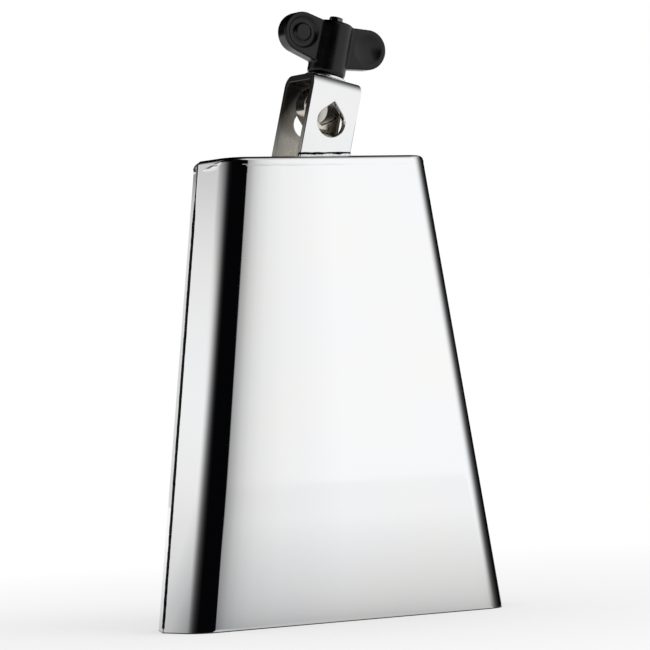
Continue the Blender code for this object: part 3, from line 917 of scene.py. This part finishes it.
def setCamera():
    azimuth, elevation, roll = viewFrom["azimuth"], viewFrom["elevation"], viewFrom["roll"]
    right = Vector((math.cos(azimuth), math.sin(azimuth), 0))
    back = Vector((math.sin(azimuth) * math.cos(elevation), -math.cos(azimuth) * math.cos(elevation),
                   math.sin(elevation)))
    up = back.cross(right)
    across = math.cos(roll) * right + math.sin(roll) * up
    upright = math.cos(roll) * up - math.sin(roll) * right
    camera = bpy.data.objects.new("camera", bpy.data.cameras.new("camera"))
    bpy.context.collection.objects.link(camera)
    camera.data.lens = viewFrom["lens"]
    camera.data.sensor_width = viewFrom["sensor"]
    turn = Matrix((across, upright, back)).transposed().to_4x4()
    camera.matrix_world = Matrix.Translation(viewFrom["place"]) @ turn
    bpy.context.scene.camera = camera


setCamera()
bpy.context.scene.view_settings.view_transform = "Standard"


# Floor, world and lamps

floorSet = dict(reach=14, whiteFrom=0.08, whiteTo=0.55, nearWhite=0.55, mirrorNear=0.067, mirrorFar=3.0,
                mirrorLow=0.53, mirrorHigh=0.94, matt=(0.9, 0.9, 0.9, 1))
lightSet = dict(worldFill=0.72, keyPower=11, keySize=1.3, keyPlace=(0.9, -1.3, 1.6), keyAim=(0, 0, 0.12))
pureWhite = (1, 1, 1, 1)
# what metal sees of the room: white walls, dark overhead and behind, and a black side to the front left
roomSet = dict(
    rearWay=(-0.6, 0.8, 0), rearFrom=-0.62, rearTo=0.02,
    leftWay=(-0.98, 0.2, 0), leftFrom=0.57, leftTo=0.8,
    frontWay=(-0.30, -0.95, 0), frontFrom=0.82, frontTo=0.92, blackLevel=0.02,
    sideWay=(-0.8, -0.6, 0), sideFrom=0.38, sideTo=0.55, sideLow=0.24, sideHigh=0.33,
    backWay=(-0.40, 0.92, 0), backFrom=0.93, backTo=0.97,
    ahead=((0, 1.0), (0.30, 1.0), (0.46, 0.94), (0.59, 0.80), (0.71, 0.58), (0.80, 0.34), (0.87, 0.12),
           (0.92, 0.03), (1.0, 0.01)),
    behind=((0, 0.70), (0.09, 0.70), (0.102, 0.45), (0.112, 0.15), (0.13, 0.05), (0.31, 0.02), (0.50, 0)),
    leftRear=((0, 0.60), (0.10, 0.64), (0.12, 0.76), (0.145, 0.88), (0.17, 0.92), (0.195, 0.89),
              (0.215, 0.83), (0.232, 0.74), (0.245, 0.63), (0.40, 0.42), (0.70, 0.14), (0.90, 0)),
)


def makeFloor():
    deselectAll()
    bpy.ops.mesh.primitive_plane_add(size=2 * floorSet["reach"])
    floor = bpy.context.object
    floor.name = "paleFloor"
    look, tree = startEmptyLook("paleFloor")
    place = addNode(tree, "ShaderNodeTexCoord").outputs["Object"]
    away = addNode(tree, "ShaderNodeVectorMath", {0: place}, operation="LENGTH").outputs["Value"]
    rays = addNode(tree, "ShaderNodeLightPath").outputs
    matt = addNode(tree, "ShaderNodeBsdfDiffuse", {"Color": floorSet["matt"]})
    white = addNode(tree, "ShaderNodeEmission", {"Color": pureWhite, "Strength": 1})
    spread = addRange(tree, away, floorSet["whiteFrom"], floorSet["whiteTo"], floorSet["nearWhite"], 1)
    seen = addMixed(tree, spread, matt, white)
    # painted shade in reflections: metal sees the floor as a glow, darker near the bell and lighter far off
    deep = addNode(tree, "ShaderNodeMath", {0: away, 1: math.e}, operation="LOGARITHM").outputs[0]
    tone = addRange(tree, deep, math.log(floorSet["mirrorNear"]), math.log(floorSet["mirrorFar"]),
                    floorSet["mirrorLow"], floorSet["mirrorHigh"])
    mirrored = addNode(tree, "ShaderNodeEmission", {"Color": pureWhite, "Strength": tone})
    lit = addMixed(tree, rays["Is Camera Ray"], matt, seen)
    whole = addMixed(tree, rays["Is Glossy Ray"], lit, mirrored)
    addNode(tree, "ShaderNodeOutputMaterial", {"Surface": whole.outputs[0]})
    giveFinishes(floor, look)


def addSector(tree, toward, name, outside, inside):  # a level that changes in one sector of the room
    facing = addFacing(tree, toward, roomSet[name + "Way"])
    return addRange(tree, facing, roomSet[name + "From"], roomSet[name + "To"], outside, inside)


def makeWorld():
    world = bpy.data.worlds.new("studio")
    bpy.context.scene.world = world
    world.use_nodes = True
    tree = world.node_tree
    tree.nodes.clear()
    rays = addNode(tree, "ShaderNodeLightPath").outputs
    toward = addNode(tree, "ShaderNodeTexCoord").outputs["Generated"]
    height = addAxis(tree, toward, "Z")
    left = addSector(tree, toward, "left", 0, 1)
    rear = addSector(tree, toward, "rear", 0, 1)
    front = addSector(tree, toward, "front", 1, roomSet["blackLevel"])
    back = addSector(tree, toward, "back", 1, roomSet["blackLevel"])
    overSide = addRange(tree, height, roomSet["sideLow"], roomSet["sideHigh"], 0, 1)
    raised = addTimes(tree, addSector(tree, toward, "side", 0, 1), overSide)
    side = addRange(tree, raised, 0, 1, 1, roomSet["blackLevel"])
    black = addTimes(tree, addTimes(tree, front, back), side)
    behind = addBetween(tree, left, addRamp(tree, height, roomSet["behind"]),
                        addRamp(tree, height, roomSet["leftRear"]))
    room = addBetween(tree, rear, addRamp(tree, height, roomSet["ahead"]), behind)
    tone = addTimes(tree, room, black)
    world.cycles.sampling_method = "NONE"  # so that satin plastic sees the same room as the metal
    seen = addNode(tree, "ShaderNodeBackground", {"Color": pureWhite, "Strength": 1})
    mirrored = addNode(tree, "ShaderNodeBackground", {"Color": pureWhite, "Strength": tone})
    fill = addNode(tree, "ShaderNodeBackground", {"Color": pureWhite, "Strength": lightSet["worldFill"]})
    lit = addMixed(tree, rays["Is Glossy Ray"], fill, mirrored)
    whole = addMixed(tree, rays["Is Camera Ray"], lit, seen)
    addNode(tree, "ShaderNodeOutputWorld", {"Surface": whole.outputs[0]})


def makeLamp():
    deselectAll()
    bpy.ops.object.light_add(type="AREA", location=lightSet["keyPlace"])
    lamp = bpy.context.object
    lamp.name = "softKey"
    lamp.data.energy = lightSet["keyPower"]
    lamp.data.size = lightSet["keySize"]
    aim = Vector(lightSet["keyAim"]) - lamp.location
    lamp.rotation_euler = aim.to_track_quat("-Z", "Y").to_euler()
    lamp.visible_glossy = False


makeFloor()
makeWorld()
makeLamp()


# Black studio cards, seen only in the metal

cards = dict(gap=30 * mm, low=0.3 * mm, high=214 * mm, black=(0.0015, 0.0015, 0.002, 1))


def cardLook(name, stops):
    look, tree = startEmptyLook(name)
    laid = addNode(tree, "ShaderNodeTexCoord").outputs["UV"]
    cover = addRamp(tree, addAxis(tree, laid, "X"), stops)
    clear = addNode(tree, "ShaderNodeBsdfTransparent")
    black = addNode(tree, "ShaderNodeEmission", {"Color": cards["black"], "Strength": 1})
    whole = addMixed(tree, cover, clear, black)
    addNode(tree, "ShaderNodeOutputMaterial", {"Surface": whole.outputs[0]})
    return look


def makeCard(name, look, placeAt, columns, rows):
    deselectAll()
    bpy.ops.mesh.primitive_grid_add(x_subdivisions=columns, y_subdivisions=rows, size=1)
    card = bpy.context.object
    card.name = name
    for vert in card.data.vertices:
        vert.co = placeAt(vert.co.x + 0.5, vert.co.y + 0.5)
    giveFinishes(card, look)
    card.visible_camera = False
    card.visible_diffuse = False
    card.visible_shadow = False
    card.visible_transmission = False


def bendCentre(sideX, sideY, z):
    share = z / bellTop
    depth = bellSheet["mouthDepth"] * (1 - share) + bellSheet["crownDepth"] * share
    return Vector((sideX * bellWidthAt(z) / 2, sideY * (depth / 2 - bellSheet["sideBend"]), 0))


def cardHeight(rise):
    return cards["low"] + (cards["high"] - cards["low"]) * rise


# the left front card: soft over the flat face, black over the bend, soft again towards the flap
leftCard = dict(
    start=-75, straight=-40, edge=-16, solid=49, end=108, step=0.9 * mm, edgeShift=-0.4, edgeLow=4.5,
    edgeBelow=0.35, solidTop=41, solidLow=21, endTop=88, endLow=52, lowPower=3, tailLow=0.6,
    straightWay=(0.95, -0.3, 0), columns=92, rows=14,
    covers=((-75, 0), (-58, 0.05), (-45, 0.08), (-35, 0.15), (-28, 0.25), (-23, 0.38), (-19.7, 0.53),
            (-16.3, 0.66), (-16, 1), (45, 1), (55, 0.985), (64, 0.94), (73, 0.82), (84, 0.52), (95, 0.2),
            (108, 0)),
)
# the right front card darkens only the bend's far side
rightCard = dict(
    start=32, end=133, low=6, lowest=18, lowestPower=4, columns=50, rows=4,
    covers=((32, 0), (39, 0.02), (45, 0.10), (51, 0.26), (57.6, 0.48), (65, 0.71), (73, 0.885), (83, 0.955),
            (94, 0.985), (111, 1), (133, 1)),
)


def coverStops(card):  # the card's cover by angle, as stops along its width
    span = card["end"] - card["start"]
    return [((angle - card["start"]) / span, cover) for angle, cover in card["covers"]]


def leftAngle(angle, rise):  # the black band widens towards the mouth
    low = (1 - rise) ** leftCard["lowPower"]
    solid = leftCard["solidTop"] + leftCard["solidLow"] * low
    if angle < 0:
        tail = max(0, leftCard["edge"] - angle) * leftCard["tailLow"] * (1 - rise)
        foot = leftCard["edgeLow"] * max(0, 1 - rise / leftCard["edgeBelow"]) ** 2
        return angle - tail + leftCard["edgeShift"] + foot
    if angle < leftCard["solid"]:
        return angle * solid / leftCard["solid"]
    end = leftCard["endTop"] + leftCard["endLow"] * low
    return solid + (angle - leftCard["solid"]) * (end - solid) / (leftCard["end"] - leftCard["solid"])


def leftPlace(way):
    def placeAt(across, rise):
        angle = leftAngle(leftCard["start"] + (leftCard["end"] - leftCard["start"]) * across, rise)
        turn = math.radians(max(angle, leftCard["straight"]))
        z = cardHeight(rise)
        spot = bendCentre(-1, -1, z) + cards["gap"] * Vector((-math.sin(turn), -math.cos(turn), 0))
        spot += max(0, leftCard["straight"] - angle) * leftCard["step"] * Vector(leftCard["straightWay"])
        return (way * spot.x, way * spot.y, z)
    return placeAt


bendBlack = cardLook("bendBlack", coverStops(leftCard))
makeCard("frontLeftCard", bendBlack, leftPlace(1), leftCard["columns"], leftCard["rows"])
makeCard("rearRightCard", bendBlack, leftPlace(-1), leftCard["columns"], leftCard["rows"])


def rightPlace(across, rise):
    widen = rightCard["low"] * (1 - rise) + rightCard["lowest"] * (1 - rise) ** rightCard["lowestPower"]
    angle = rightCard["start"] + (rightCard["end"] - rightCard["start"]) * across - widen
    turn = math.radians(angle)
    z = cardHeight(rise)
    spot = bendCentre(1, -1, z) + cards["gap"] * Vector((math.sin(turn), -math.cos(turn), 0))
    return (spot.x, spot.y, z)


edgeBlack = cardLook("edgeBlack", coverStops(rightCard))
makeCard("frontRightCard", edgeBlack, rightPlace, rightCard["columns"], rightCard["rows"])


# a narrow card behind the left ridge, which the seam shows
ridgeCard = dict(start=135, end=178, gap=35 * mm, columns=16, rows=2, cover=((0, 0.9), (1, 1)))


def ridgePlace(across, rise):
    turn = math.radians(ridgeCard["start"] + (ridgeCard["end"] - ridgeCard["start"]) * across)
    z = cardHeight(rise)
    ridge = mouthRidge + (crownRidge - mouthRidge) * z / bellTop
    return (-ridge - ridgeCard["gap"] * math.sin(turn), -ridgeCard["gap"] * math.cos(turn), z)


seamBlack = cardLook("seamBlack", ridgeCard["cover"])
makeCard("seamCard", seamBlack, ridgePlace, ridgeCard["columns"], ridgeCard["rows"])
print("studio ready")
